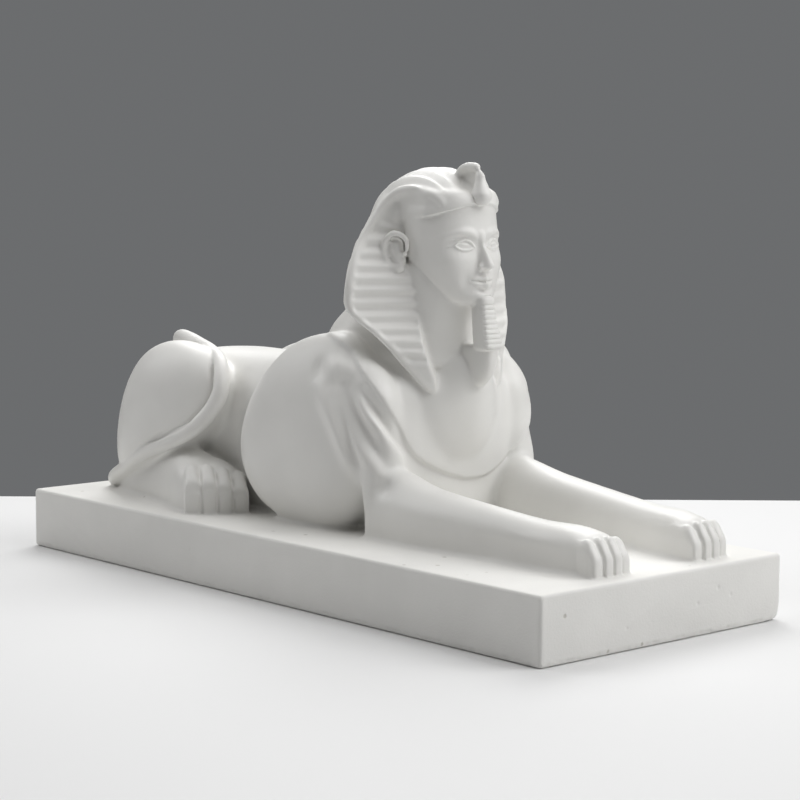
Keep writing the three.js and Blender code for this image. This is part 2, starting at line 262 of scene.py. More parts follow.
# A soft mound or dip round a spot: size is one radius or three.
def dab(skin, spot, size, height, sides=(-1, 1)):
    own = inOwnFrame(skin)
    amount = np.zeros(len(own))
    for side in sides:
        away = (own - np.array(spot) * [side * -1, 1, 1]) / size
        amount += height * np.exp(-(away ** 2).sum(1))
    raiseBy(skin, amount)


# A ridge or groove along a smooth path of x, y, z, height, half width.
# fromFront measures it as seen from the front.
def stroke(skin, rows, sides=(-1, 1), crisp=False, fromFront=None):
    path = between(rows, np.linspace(0, 1, 36))
    own = inOwnFrame(skin)
    if fromFront is not None:
        own[:, 1] = np.where(own[:, 1] < fromFront, 0, 1000)
        path[:, 1] = 0
    amount = np.zeros(len(own))
    for side in sides:
        line = path[:, :3] * [side * -1, 1, 1]
        wide = path[:, 4].max() * (1 if crisp else 2.4)
        chosen = np.where(((own > line.min(0) - wide) & (own < line.max(0) + wide)).all(1))[0]
        near = own[chosen]
        best = np.full(len(chosen), 1e9)
        height = np.zeros(len(chosen))
        width = np.ones(len(chosen))
        for k in range(len(line) - 1):
            step = line[k + 1] - line[k]
            t = np.clip(((near - line[k]) @ step) / (step @ step), 0, 1)
            away = np.linalg.norm(near - line[k] - t[:, None] * step, axis=1)
            closer = away < best
            best = np.where(closer, away, best)
            height = np.where(closer, path[k, 3] + t * (path[k + 1, 3] - path[k, 3]), height)
            width = np.where(closer, path[k, 4] + t * (path[k + 1, 4] - path[k, 4]), width)
        if crisp:
            share = 0.5 + 0.5 * np.cos(np.pi * np.clip(best / width, 0, 1))
        else:
            share = np.exp(-(best / width) ** 2)
        amount[chosen] += height * share
    raiseBy(skin, amount)


everywhere = 1000


def insideBoxes(points, boxes):
    chosen = np.zeros(len(points), bool)
    for box in boxes:
        low, high = np.array(box).T
        chosen |= ((points > low) & (points < high)).all(1)
    return chosen


# Cuts the squares inside boxes in four, so finer work holds there.
# A box is the distance from the middle, y and z, each from and to.
def refined(mesh, boxes):
    centres = readOut(mesh.polygons, "center", 3)
    centres[:, 0] = np.abs(centres[:, 0] - middleAt(centres[:, 1]))
    chosen = np.where(insideBoxes(centres, boxes))[0]
    work = bmesh.new()
    work.from_mesh(mesh)
    work.faces.ensure_lookup_table()
    edges = {e for i in chosen for e in work.faces[i].edges}
    bmesh.ops.subdivide_edges(work, edges=list(edges), cuts=1, use_grid_fill=True)
    work.to_mesh(mesh)
    work.free()
    return mesh


# Leaves the largest connected part, without the crumbs that fusing can leave behind.
def withoutCrumbs(mesh):
    work = bmesh.new()
    work.from_mesh(mesh)
    left = set(work.verts)
    parts = []
    while left:
        edge = [left.pop()]
        part = list(edge)
        while edge:
            near = {e.other_vert(v) for v in edge for e in v.link_edges} & left
            left -= near
            edge = list(near)
            part += edge
        parts.append(part)
    parts.sort(key=len)
    for part in parts[:-1]:
        bmesh.ops.delete(work, geom=part, context="VERTS")
    work.to_mesh(mesh)
    work.free()
    return mesh


# How far inside a closed outline points lie, below zero outside.
def insideOutline(across, up, outline):
    ring = np.array(outline, float)
    ring = np.vstack([ring, ring[:1]])
    best = np.full(len(across), 1e9)
    inside = np.zeros(len(across), bool)
    for (x0, z0), (x1, z1) in zip(ring[:-1], ring[1:]):
        dx, dz = x1 - x0, z1 - z0
        t = np.clip(((across - x0) * dx + (up - z0) * dz) / (dx * dx + dz * dz), 0, 1)
        best = np.minimum(best, np.hypot(across - x0 - t * dx, up - z0 - t * dz))
        crosses = (z0 > up) != (z1 > up)
        inside ^= crosses & (across < x0 + dx * (up - z0) / np.where(dz == 0, 1e-9, dz))
    return np.where(inside, best, -best)


body = {
    "trunk": [
        [-58, 90], [-56.5, 28, 116, 50, 90, 2.1], [-51, 46, 131, 28, 92, 2.2], [-34, 56, 140, 22, 94, 2.2],
        [-6, 58, 142, 20, 90, 2.2], [26, 54, 137, 20, 88, 2.3], [62, 47, 130, 20, 86, 2.6],
        [95, 41, 128, 20, 84, 2.7], [135, 41, 127.5, 20, 82, 2.7], [164, 40, 123, 20, 80, 2.3],
        [186, 32, 104, 24, 70, 2.1], [196, 20, 84, 30, 60, 2], [199, 58],
    ],
    "shoulder": [
        [-50, 96, 51], [-44, 12, 122, 66, 92, 2, 51], [-26, 20, 141, 43, 90, 2.1, 50],
        [-8, 24.5, 147, 33.5, 88, 2.1, 48.5], [10, 25, 145, 32.5, 86, 2.1, 47.5],
        [28, 25, 138, 35, 82, 2.1, 46], [48, 21.5, 121, 43.5, 78, 2.1, 44], [64, 12.5, 99, 58, 78, 2, 42],
        [73, 78, 41],
    ],
    "thigh": [
        [89, 107, 46], [94, 12, 120.5, 91, 106, 2, 46.5], [108, 21, 130.5, 75, 101, 2.1, 47],
        [134, 25, 134, 59, 95, 2.1, 48], [158, 24, 126, 48, 83, 2.1, 47], [178, 18, 104, 38, 67, 2, 44.5],
        [188, 10, 82, 34, 58, 2, 42], [192, 54, 42],
    ],
    "foreleg": [
        [-212, 48, 36.5], [-210.5, 9, 50, 20, 46, 2.6, 36.5], [-204, 13, 56.4, 20, 45, 2.8, 36.5],
        [-196, 13.9, 58.4, 20, 45, 2.7, 37.2], [-188, 14.2, 59.6, 20, 45, 2.6, 38],
        [-166, 13.6, 60, 20, 45, 2.4, 41], [-128, 14.5, 63.5, 20, 46, 2.3, 45],
        [-90, 16.5, 67.5, 20, 46, 2.3, 47.5], [-62, 16.5, 73, 20, 48, 2.3, 47.5],
        [-50, 14, 72, 20, 48, 2.3, 49], [-46, 54, 50],
    ],
    "hindFoot": [
        [75, 48, 64.5], [79, 12, 58, 20, 48, 2.4, 64], [87, 16, 64, 20, 48, 2.6, 62.5],
        [98, 18, 68, 20, 46, 2.8, 59], [112, 17, 70, 20, 44, 2.6, 54.5], [140, 15, 66, 20, 42, 2.4, 49],
        [168, 14, 56, 20, 40, 2.3, 45], [188, 11, 49, 22, 40, 2.1, 42], [198, 38, 40],
    ],
    "upperArm": [
        [28, -52, 52], [33, 10, -60, -45, -52, 2.4, 52], [54, 12, -62, -45, -50, 2.3, 52],
        [72, 12.5, -60, -40, -47, 2.2, 51.5], [94, 13.5, -56, -26, -41, 2.2, 50.5],
        [114, 14, -53, -8, -33, 2.2, 50], [126, 12, -45, 2, -24, 2.1, 49.5], [134, 7, -34, 0, -18, 2, 49],
        [138, -16, 48.5],
    ],
    "neck": [
        [104, -10], [108, 42, -43, 28, -10, 2], [126, 43, -40, 32, -6, 2], [140, 42.5, -36, 31, -4, 2],
        [150, 39.5, -32, 26, -4, 2], [159, 33, -30, 19, -6, 2], [168, 27, -29, 11, -10, 2], [177, -12],
    ],
    "chest": [
        [-72, 120, 1], [-69.8, 9, 129, 106, 120, 2, 1], [-65, 18, 135, 90, 116, 2, 1],
        [-57.5, 27, 138, 76, 112, 2], [-46, 32, 139, 70, 108, 2], [-30, 110],
    ],
    # how freely hollows fill: by the chest, at the rump, low down and on the ground
    "flow": {"least": 0.25, "chestFrom": [-20, 10], "chestAbove": [55, 75],
             "rump": 0.8, "rumpFrom": [165, 185],
             "low": 0.2, "lowTo": [38, 48], "ground": 0.35, "rounds": 26, "crest": 0.05,
             "again": 4, "even": 0.6},
    # how strong the muscles are on each side, and where the skin is finer for them
    "muscle": {-1: 1.35, 1: 0.25}, "fine": [[[-1, everywhere], [-72, 4], [56, 158]]],
    "leftHaunch": {"forward": 10, "lower": 4.5},
    "leftPaw": {"out": 2.5, "from": [120, 180]},
}

# Muscles, each path as x, y, z, height, half width
muscles = [
    [[-67.5, -13, 124, 0.3, 5.4], [-69, -20, 114, 1.8, 5], [-68.4, -30, 98, 2.4, 4.6],
     [-65.4, -37, 81, 2, 4.4], [-60.5, -40, 69, 0.6, 4]],
    [[-67.1, -30, 112, -0.8, 3.8], [-66.6, -35.5, 98, -2.3, 3.8], [-65, -39.5, 86, -1.7, 3.8],
     [-62.6, -45, 76, -0.5, 4]],
    [[-66.5, -27, 114, 0.6, 4.6], [-65.4, -38, 98.5, 1.8, 4.4], [-63, -45.5, 86, 2, 4.4],
     [-59.4, -55, 74, 0.8, 4.6]],
    [[-65, -31, 121, -1.2, 4.6], [-63.3, -42, 104, -2.7, 4.4], [-60.2, -51, 91, -2.4, 4.4],
     [-56.5, -57, 78, -1, 4.8]],
    [[-62.5, -43, 111, 0.8, 4], [-58, -52.5, 98, 1.8, 4.2], [-52, -57, 86.5, 1.5, 4.6],
     [-40, -57, 77, 0.6, 4.8]],
    [[-61.5, -42, 119, -1.6, 3.2], [-58, -51, 107.5, -3.4, 3.2], [-51.5, -56, 96.5, -2.2, 3],
     [-43, -57, 87, -0.8, 2.8]],
]
dips = [
    [[-63.4, -25.4, 130], 7, 2.4], [[-64.6, -13, 127.5], [6, 5, 7], -1.8], [[-64.6, -34, 121.5], 5, -1.6],
    [[-59.6, -62, 66], [6, 6, 5], -2.2], [[-62, -92, 56], [8, 30, 7], 1.2],
    [[-57, -150, 46], [8, 24, 5], -1], [[-54, -178, 52], [5, 16, 4], 1],
    [[-20.5, -62, 130], [7, 10, 11], -4.6], [[-44, -64, 72], [9, 9, 6], 1],
    [[-50, -32, 138], [9, 12, 7], -2],
]
# The bib's edge: how far round the chest from its middle, and how high
collar = {
    "outline": [[-108, 176], [-104, 152], [-97, 145.7], [-82.5, 138.6], [-73.5, 129], [-59, 114.5],
                [-47, 100], [-36, 84], [-21, 74], [-6, 68.2], [7, 65.1], [22.7, 66.5], [37, 74], [50, 86],
                [62, 100], [73, 115], [84, 130], [97, 143], [104, 152], [108, 176]],
    "front": -56, "wrap": 0.9, "rise": 2.3, "edge": 0.8, "from": [-6, 20],
}


def haunchRows(side):
    if side < 0:
        return body["thigh"]
    return movedRows(body["thigh"], -body["leftHaunch"]["forward"], -body["leftHaunch"]["lower"])


# The left paw stands a little further out than the right one.
def forelegRows(side):
    out = body["leftPaw"]["out"] if side > 0 else 0
    near, far = body["leftPaw"]["from"]
    return [[*row[:6], row[6] + out * float(rise(-row[0], near, far))]
            for row in map(fullRow, body["foreleg"])]


def addBlock(mesh, inset, bevel):
    form = bmesh.new()
    size = [plinth["width"] - 2 * inset, plinth["length"] - 2 * inset, plinth["height"] - inset]
    place = Matrix.Translation((0, 0, inset + size[2] / 2)) @ Matrix.Diagonal((*size, 1))
    bmesh.ops.create_cube(form, size=1, matrix=place)
    if bevel:
        bevelAll(form, bevel)
    addTo(mesh, form)


def makeBody():
    mesh = bmesh.new()
    addLoft(mesh, body["trunk"], around=80, along=110)
    addLoft(mesh, body["neck"], lying=False)
    addLoft(mesh, body["chest"])
    for side in (-1, 1):
        addLoft(mesh, body["shoulder"], side)
        addLoft(mesh, haunchRows(side), side)
        addLoft(mesh, forelegRows(side), side, along=110)
        addLoft(mesh, body["hindFoot"], side)
        addLoft(mesh, body["upperArm"], side, lying=False)
    addBlock(mesh, 2.5, 0)
    skin = readSkin(fused(mesh, grain["form"]))
    x, y, z = inOwnFrame(skin).T
    # arm, shoulder and chest flow into each other
    # the rest keeps tighter hollows, and the ground the tightest
    flow = body["flow"]
    valley = (1 - flow["least"]) * rise(-y, *flow["chestFrom"])
    valley = flow["least"] + valley * rise(z, *flow["chestAbove"])
    valley = np.maximum(valley, flow["rump"] * rise(y, *flow["rumpFrom"]))
    valley *= flow["low"] + (1 - flow["low"]) * rise(z, *flow["lowTo"])
    ground = z < plinth["height"] + 0.4
    valley[ground] = flow["ground"]
    soften(skin, flow["rounds"], valley, np.where(ground, 0.0, flow["crest"]))
    soften(skin, flow["again"], np.where(ground, 0.1, flow["even"]), np.where(ground, 0.0, flow["even"]))
    findNormals(skin)
    skin = readSkin(refined(skin["mesh"], body["fine"]))
    findNormals(skin)
    for rows in muscles:
        for side, share in body["muscle"].items():
            stroke(skin, [[*row[:3], row[3] * share, row[4]] for row in rows], sides=(side,))
    for dip in dips:
        dab(skin, *dip)
    findNormals(skin)
    x, y, z = inOwnFrame(skin).T
    smooth = between([[x, z, 0, 0] for x, z in collar["outline"]], np.linspace(0, 1, 120))[:, :2]
    wrapped = x + np.sign(x) * collar["wrap"] * np.maximum(y - collar["front"], 0)
    within = insideOutline(wrapped, z, smooth)
    front = rise(-y, *collar["from"]) * (y > -72)
    raiseBy(skin, collar["rise"] * rise(within, -collar["edge"], collar["edge"] * 0.3) * front)
    findNormals(skin)
    return skin["mesh"]


bodySkin = makeBody()
print("body fused", len(bodySkin.vertices))


cloth = {
    "cap": [
        [196, -40], [199, 22, -64, -8, -40, 2.2], [207, 25.2, -70.4, -8, -40, 2.2],
        [214, 26.2, -73, -6, -40, 2.3], [220, 26.2, -72.8, -5, -40, 2.3], [226, 25.8, -70.4, -6, -39, 2.3],
        [231.5, 22.8, -64.5, -11, -38, 2.2], [236, 17, -56.5, -19, -38, 2.1], [239.4, 9, -48, -27, -38, 2],
        [240.6, -38],
    ],
    "nape": [
        [128, -8], [132, 26, -24, 32, -6, 2.1], [148, 31, -34, 24, -12, 2.2], [165, 35, -36, 16, -16, 2.2],
        [182, 35, -38, 12, -18, 2.2], [198, 33.5, -40, 8, -22, 2.2], [212, 30.5, -42, 3, -26, 2.2],
        [223, 26.5, -44, -1, -28, 2.1], [232, 17, -42, -8, -30, 2], [237, -32],
    ],
    # z, outer edge x and y, inner edge x and y, thickness, back x and y
    "wing": [
        [116.2, 26, -62.4, 24, -63.8, 2, 23.5, -59], [118.2, 27.6, -61, 24, -64.2, 3, 22, -55],
        [125.2, 32, -56, 25.6, -64, 4, 22, -51], [132.2, 35.4, -50, 28, -62, 5, 24, -49],
        [141.2, 39.4, -42.8, 29, -58.6, 5, 24, -44], [150.2, 44, -33.6, 27.6, -54.4, 5, 22, -38],
        [157.2, 48.4, -25, 25.6, -50.6, 5, 18, -30], [160.8, 50.6, -20.5, 25, -50, 5, 14, -14],
        [166, 51.2, -19, 24.8, -49.4, 5, 10, 8], [174, 50.4, -19, 25, -49, 5, 8, 12],
        [181, 48.8, -19, 26.4, -46, 5, 8, 10], [186, 47.2, -19, 29, -40, 5, 8, 9],
        [192, 44.8, -19, 30, -36, 5, 8, 8], [200, 40.8, -19.5, 30, -34, 5, 8, 5],
        [207, 36.6, -20, 29, -33, 5, 8, 2], [214, 32, -21.5, 28.6, -32, 5, 8, -1],
        [220, 28, -23, 25.6, -32, 5, 8, -4], [226, 21, -26, 19, -32, 4, 8, -10],
        [228, 14, -27, 12, -32, 4, 8, -14],
    ],
    "inner": {"in": 7, "back": 5, "neck": 4}, "closing": 0.02,
    # how far the outer edge stands out sideways and forward, as a share of height
    "spread": {"z": [116, 125, 134, 145, 154, 161, 176, 187, 200, 212, 220],
               "share": [0, 0.1, 0.28, 0.6, 0.86, 1, 1, 0.88, 0.5, 0.14, 0], "out": 9.5, "forward": 12.5},
    "pleats": {"pitch": 6.9, "phase": 3.4, "depth": 1.7, "rim": [1.0, 3.4],
               "toward": [0.55, 0.835], "facing": [0.6, 0.85],
               "above": [126, 136], "below": [206, 216], "fan": 0.7, "fanAbove": [196, 222], "fanOut": 30},
    "crown": {"pitch": 7.4, "start": 1.9, "depth": 1.3, "from": [-66, -60], "above": [222, 228],
              "up": [0.25, 0.6], "edge": 0.16, "fall": 0.9,
              "backDepth": 0.8, "backAbove": [150, 168], "back": [0.2, 0.7]},
    "fold": [
        [19.4, -64, 219, 1.4], [20, -62, 222, 1.8], [21.6, -56.4, 226, 2.4], [23, -49, 227.8, 2.8],
        [25, -41, 228, 2.8], [27, -33.4, 226.3, 2.8], [29.6, -28.6, 222.4, 2.7], [32.8, -25, 216.2, 2.5],
        [36, -21.6, 209, 2.4], [40.4, -17.8, 200, 2.3], [45.4, -16.6, 189, 2.1], [49, -16.4, 177, 2.1],
        [50, -16.6, 166, 2], [48.6, -19.6, 159.8, 1.9], [43.8, -31.2, 151, 1.8], [39, -40.6, 141.8, 1.7],
        [34.6, -49, 131.8, 1.6], [30.2, -57, 122.8, 1.5], [26.2, -62.2, 116.8, 1.2],
    ],
    "smooth": {"rounds": 12, "valley": 0.35, "crest": 0.1, "more": 0.6, "above": [150, 175],
               "behind": [-26, -8]},
    "recess": [[-27, -44, 214], [7, 9, 10], -1.0], "seat": [[0, -64, 231], [8, 8, 7], -4.5],
    "band": {"middle": 220.6, "drop": 6.6, "reach": 24.0, "rise": 1.5, "edge": [-0.5, 0.4],
             "behind": [-56, -46], "above": [225, 230]},
}


def spreadAt(z):
    spread = cloth["spread"]
    share = np.interp(z, spread["z"], spread["share"])
    return share * spread["out"], share * spread["forward"]


# One side of the head cloth: level sections with a slanting front, a rim and a back that runs to the nape.
def addWing(mesh, side, around=64, along=150):
    form, made, down, angle = newBall(around, along)
    level = 1 - down
    turned = angle / (2 * np.pi) % 1
    rows = np.array(cloth["wing"])
    low, high, end = rows[0, 0], rows[-1, 0], cloth["closing"]
    z = np.interp(level, [0, end, 1 - end, 1], [low, low, high, high])
    outX, outY, inX, inY, thick, backX, backY = (np.interp(z, rows[:, 0], rows[:, k]) for k in range(1, 8))
    out, forward = spreadAt(z)
    outX, outY = outX + out, outY - forward
    inner = cloth["inner"]
    ring = np.stack([np.stack([outX, outY + thick], 1), np.stack([outX, outY], 1), np.stack([inX, inY], 1),
                     np.stack([inX - inner["in"], inY + inner["back"]], 1),
                     np.stack([backX - inner["neck"], (inY + backY) / 2], 1),
                     np.stack([backX, backY], 1)], 1)
    ring = np.concatenate([ring, ring[:, :1]], 1)
    reach = np.linalg.norm(np.diff(ring, axis=1), axis=2)
    travel = np.concatenate([np.zeros((len(ring), 1)), np.cumsum(reach, axis=1)], 1)
    want = turned * travel[:, -1]
    corner = (travel[:, 1:-1] <= want[:, None]).sum(1)
    pick = np.arange(len(ring))
    share = ((want - travel[pick, corner]) / np.maximum(reach[pick, corner], 1e-6))[:, None]
    spots = ring[pick, corner] * (1 - share) + ring[pick, corner + 1] * share
    centre = ring[:, :-1].mean(1)
    closing = np.minimum(np.minimum(level, 1 - level) / end, 1)[:, None]
    spots = centre + (spots - centre) * closing
    for vertex, spot, height in zip(made, spots, z):
        vertex.co = (side * spot[0] + float(middleAt(spot[1])), spot[1], height)
    bmesh.ops.recalc_face_normals(form, faces=form.faces[:])
    addTo(mesh, form)


def makeCloth():
    mesh = bmesh.new()
    addLoft(mesh, cloth["cap"], lying=False)
    addLoft(mesh, cloth["nape"], lying=False)
    fold = []
    for x, y, z, radius in cloth["fold"]:
        out, forward = spreadAt(z)
        fold.append([x + out, y - forward, z, radius])
    for side in (-1, 1):
        addWing(mesh, side)
        addRope(mesh, fold, side=side, along=160)
    skin = readSkin(fused(mesh, grain["cloth"]))
    own = inOwnFrame(skin)
    smooth = cloth["smooth"]
    top = smooth["more"] * (rise(own[:, 2], *smooth["above"]) * rise(own[:, 1], *smooth["behind"]))
    soften(skin, smooth["rounds"], smooth["valley"] + top, smooth["crest"] + top)
    dab(skin, *cloth["recess"])
    dab(skin, *cloth["seat"], sides=(1,))
    findNormals(skin)
    own = inOwnFrame(skin)
    x, y, z = np.abs(own[:, 0]), own[:, 1], own[:, 2]
    ways = skin["normals"].copy()
    ways[:, 0] *= np.sign(own[:, 0])
    # level pleats on the slanting front of each side, fanning near the top
    rows = np.array(cloth["wing"])
    inset = np.interp(z, rows[:, 0], rows[:, 1]) + spreadAt(z)[0] - x
    pleats = cloth["pleats"]
    fan = z - pleats["fan"] * rise(z, *pleats["fanAbove"]) * (x - pleats["fanOut"])
    wave = 0.5 - 0.5 * np.cos(2 * np.pi * (fan - pleats["phase"]) / pleats["pitch"])
    facing = rise(pleats["toward"][0] * ways[:, 0] - pleats["toward"][1] * ways[:, 1], *pleats["facing"])
    level = facing * rise(inset, *pleats["rim"]) * rise(z, *pleats["above"])
    level *= 1 - rise(z, *pleats["below"])
    raiseBy(skin, -pleats["depth"] * (1 - wave) * level)
    # stepped pleats over the crown and down the back
    crown = cloth["crown"]
    step = ((x - crown["start"]) / crown["pitch"]) % 1
    saw = rise(step, 0, crown["edge"]) * (1 - crown["fall"] * step)
    onTop = rise(y, *crown["from"]) * rise(ways[:, 2], *crown["up"]) * rise(z, *crown["above"])
    behind = rise(ways[:, 1], *crown["back"]) * rise(z, *crown["backAbove"])
    raiseBy(skin, (crown["depth"] * onTop + crown["backDepth"] * behind * (1 - onTop)) * (saw - 0.5))
    findNormals(skin)
    return skin["mesh"]


clothSkin = makeCloth()
print("cloth fused", len(clothSkin.vertices))


# Toe rows: y from the knuckle, half, then top, bottom and widest from the knuckle's height, squareness
frontToes = {
    "middle": 36.5, "knuckle": [-207, 19.5], "pitch": 6.8, "setBack": [1.2, 0, 0.2, 1.4],
    "lower": [1.2, 0, 0, 0.6],
    "turn": 0, "groove": 0.7, "grooveWide": 1.3, "from": -2, "leftOut": 2.5,
    "rows": [
        [-7.9, -12.5], [-7.7, 2.4, -9.6, -38, -14, 2.6], [-6.8, 3.2, -7.4, -38, -13, 2.8],
        [-4.2, 3.5, -3.6, -38, -12, 2.8], [-2.4, 3.8, -0.8, -38, -10, 2.6], [0.4, 3.8, 0.6, -38, -10, 2.4],
        [3.6, 3.6, -0.4, -38, -10, 2.4], [9, 3.4, 0.2, -38, -12, 2.4], [15, 2.6, -1.4, -38, -12, 2.2],
        [20, -12],
    ],
}
hindToes = {
    "middle": 62.6, "knuckle": [76.9, 28.5], "pitch": 9.1, "setBack": [1.4, 0, 0, 1.4],
    "lower": [4.4, 2, 0.2, 0],
    "turn": 0.56, "groove": 1.0, "grooveWide": 1.6, "from": -8, "leftOut": 0,
    "rows": [
        [-9, -18], [-8.8, 3.2, -14.6, -46, -19, 2.6], [-7.8, 4.2, -13.2, -46, -17, 2.8],
        [-8.2, 4.7, -10.2, -46, -16, 2.8], [-6.2, 4.9, -7.2, -46, -14, 2.6],
        [-2.4, 4.7, -4.4, -46, -14, 2.6], [1, 4.9, -1.6, -46, -12, 2.4], [6, 4.6, -0.2, -46, -12, 2.4],
        [11, 3.8, -2, -46, -14, 2.2], [15, 2.4, -6, -46, -14, 2.2], [18, -16],
    ],
    "root": [
        [-2, -16], [0, 11, -6.4, -46, -14, 2.2], [6, 17, -1.8, -46, -14, 2.1], [13, 18.5, 0.6, -46, -14, 2],
        [22, 17, 1.6, -46, -16, 2], [32, 12, -2, -46, -16, 2], [38, -16],
    ],
}


def toesMiddle(side, toes):
    return side * toes["middle"] + (toes["leftOut"] if side > 0 else 0)


def addToes(mesh, side, toes):
    place, height = toes["knuckle"]
    pivot = (toesMiddle(side, toes), place)
    for n, back in enumerate(toes["setBack"]):
        offset = side * (n - (len(toes["setBack"]) - 1) / 2) * toes["pitch"]
        level = plinth["height"] + height - toes["lower"][n]
        rows = movedRows(toes["rows"], back, level, offset)
        addLoft(mesh, rows, around=28, along=48, turn=side * toes["turn"], pivot=pivot)
    if "root" in toes:
        rows = movedRows(toes["root"], 0, plinth["height"] + height, side)
        addLoft(mesh, rows, turn=side * toes["turn"], pivot=pivot)


toeGap = {"ease": 7, "end": -14, "foot": [0.2, 1.2], "over": 5}


# Hollows between the toes, measured across the paw.
def partToes(skin, side, toes):
    place, height = toes["knuckle"]
    x, y, z = inOwnFrame(skin).T
    turn = side * toes["turn"]
    across, along = x - toesMiddle(side, toes), y - place
    u = across * math.cos(turn) + along * math.sin(turn)
    v = along * math.cos(turn) - across * math.sin(turn)
    beside = np.abs(u / toes["pitch"] - np.clip(np.rint(u / toes["pitch"]), -1, 1)) * toes["pitch"]
    cut = 0.5 + 0.5 * np.cos(np.pi * np.clip(beside / toes["grooveWide"], 0, 1))
    ahead = rise(-v, toes["from"], toes["from"] + toeGap["ease"]) * (v > toeGap["end"])
    top = plinth["height"]
    low, high = toeGap["foot"]
    onToes = rise(z, top + low, top + high) * (z < top + height + toeGap["over"])
    raiseBy(skin, -toes["groove"] * cut * ahead * onToes)


tail = {
    "round": [
        [2, 188, 54, 6], [-16, 200, 44, 5.6], [-36, 203, 41, 5.4], [-49, 199, 42, 5.2], [-57, 175, 52, 5],
        [-64.5, 143.5, 66, 4.9], [-66, 113, 76.5, 4.9], [-63, 96.5, 85, 4.9], [-58, 87, 95.5, 4.9],
        [-54, 83, 106.5, 4.9], [-50, 87, 116, 4.9], [-44, 97, 123, 4.9], [-37, 114, 127, 5],
        [-30, 135, 129.5, 5], [-24, 155, 131.5, 5.2], [-19, 170, 132, 4.6], [-15, 179, 128, 3],
    ],
    # the dark line where haunch and tail meet: x, y, z, height, half width
    "line": [
        [-24, 150, 131, -0.6, 1.6], [-36, 131.5, 130, -1.6, 1.7], [-43.5, 107, 126.5, -2.2, 1.7],
        [-51, 94, 119.5, -2.2, 1.7], [-58, 89, 107, -2.2, 1.7], [-61, 94.5, 95.5, -2.2, 1.7],
        [-66, 101, 86.4, -2.2, 1.7], [-69, 120, 79, -2.2, 1.7], [-67, 140.4, 70.7, -1.8, 1.7],
        [-58, 173.6, 57, -0.8, 1.7],
    ],
}

beard = {
    "rows": [
        [168.5, -76], [168, 4.4, -80, -68, -74, 4], [166.5, 4.8, -80.6, -69, -75, 4],
        [154, 5.8, -83.6, -71, -78, 4.4], [142, 6.8, -86.6, -73, -81, 4.4],
        [140.2, 6.2, -86.2, -73.6, -81, 3.6], [139.6, -81],
    ],
    "band": {"pitch": 2.75, "depth": 0.6, "start": 140.6, "slant": 0.12, "slantFrom": -84,
             "from": 140.8, "to": 165.5, "front": -70, "half": 8,
             "groove": [0.55, 0.9], "facing": [0.1, 0.5]},
    "rest": [
        [117.5, -70], [119.5, 3.6, -76, -60, -68, 2.2], [124, 5.2, -81, -58, -68, 2.6],
        [131, 5.8, -84, -58, -70, 3], [138, 5.8, -85, -60, -72, 3], [141.5, 5.2, -85, -62, -74, 2.6],
        [142.5, -74],
    ],
}

cobra = {
    "loop": [
        [0, -71.4, 240, 2.6], [0, -66.8, 241, 2.5], [0, -60.8, 240.6, 2.5], [0, -56.4, 238, 2.5],
        [0, -55.6, 234, 2.5], [0, -58.6, 230.6, 2.5], [0, -63.6, 228.2, 2.4], [0, -68.2, 225.6, 2.4],
        [0, -71.6, 222.6, 2.2],
    ],
    "coil": [[1.6, -61, 228.4, 1.4], [1.9, -64.4, 226.8, 1.6], [2.1, -68, 224.4, 1.8],
             [1.8, -71, 222.4, 1.5]],
    "fill": [
        [226, -65, 1.1], [229, 0.7, -72, -59, -65, 2, 1.1], [235, 0.7, -73, -57, -65, 2, 1.1],
        [239, 0.7, -72, -58, -65, 2, 1.1], [241, -65, 1.1],
    ],
    "hood": [
        [219.6, -73], [221.2, 2.6, -76.4, -69.4, -73, 2.2], [225.4, 4.2, -78, -69.4, -73, 2.4],
        [229.8, 4.2, -77.2, -69.4, -73, 2.4], [233.6, 2.9, -75.6, -69.4, -72.6, 2.2],
        [236.8, 2.2, -75, -69, -72, 2], [240, -72],
    ],
}

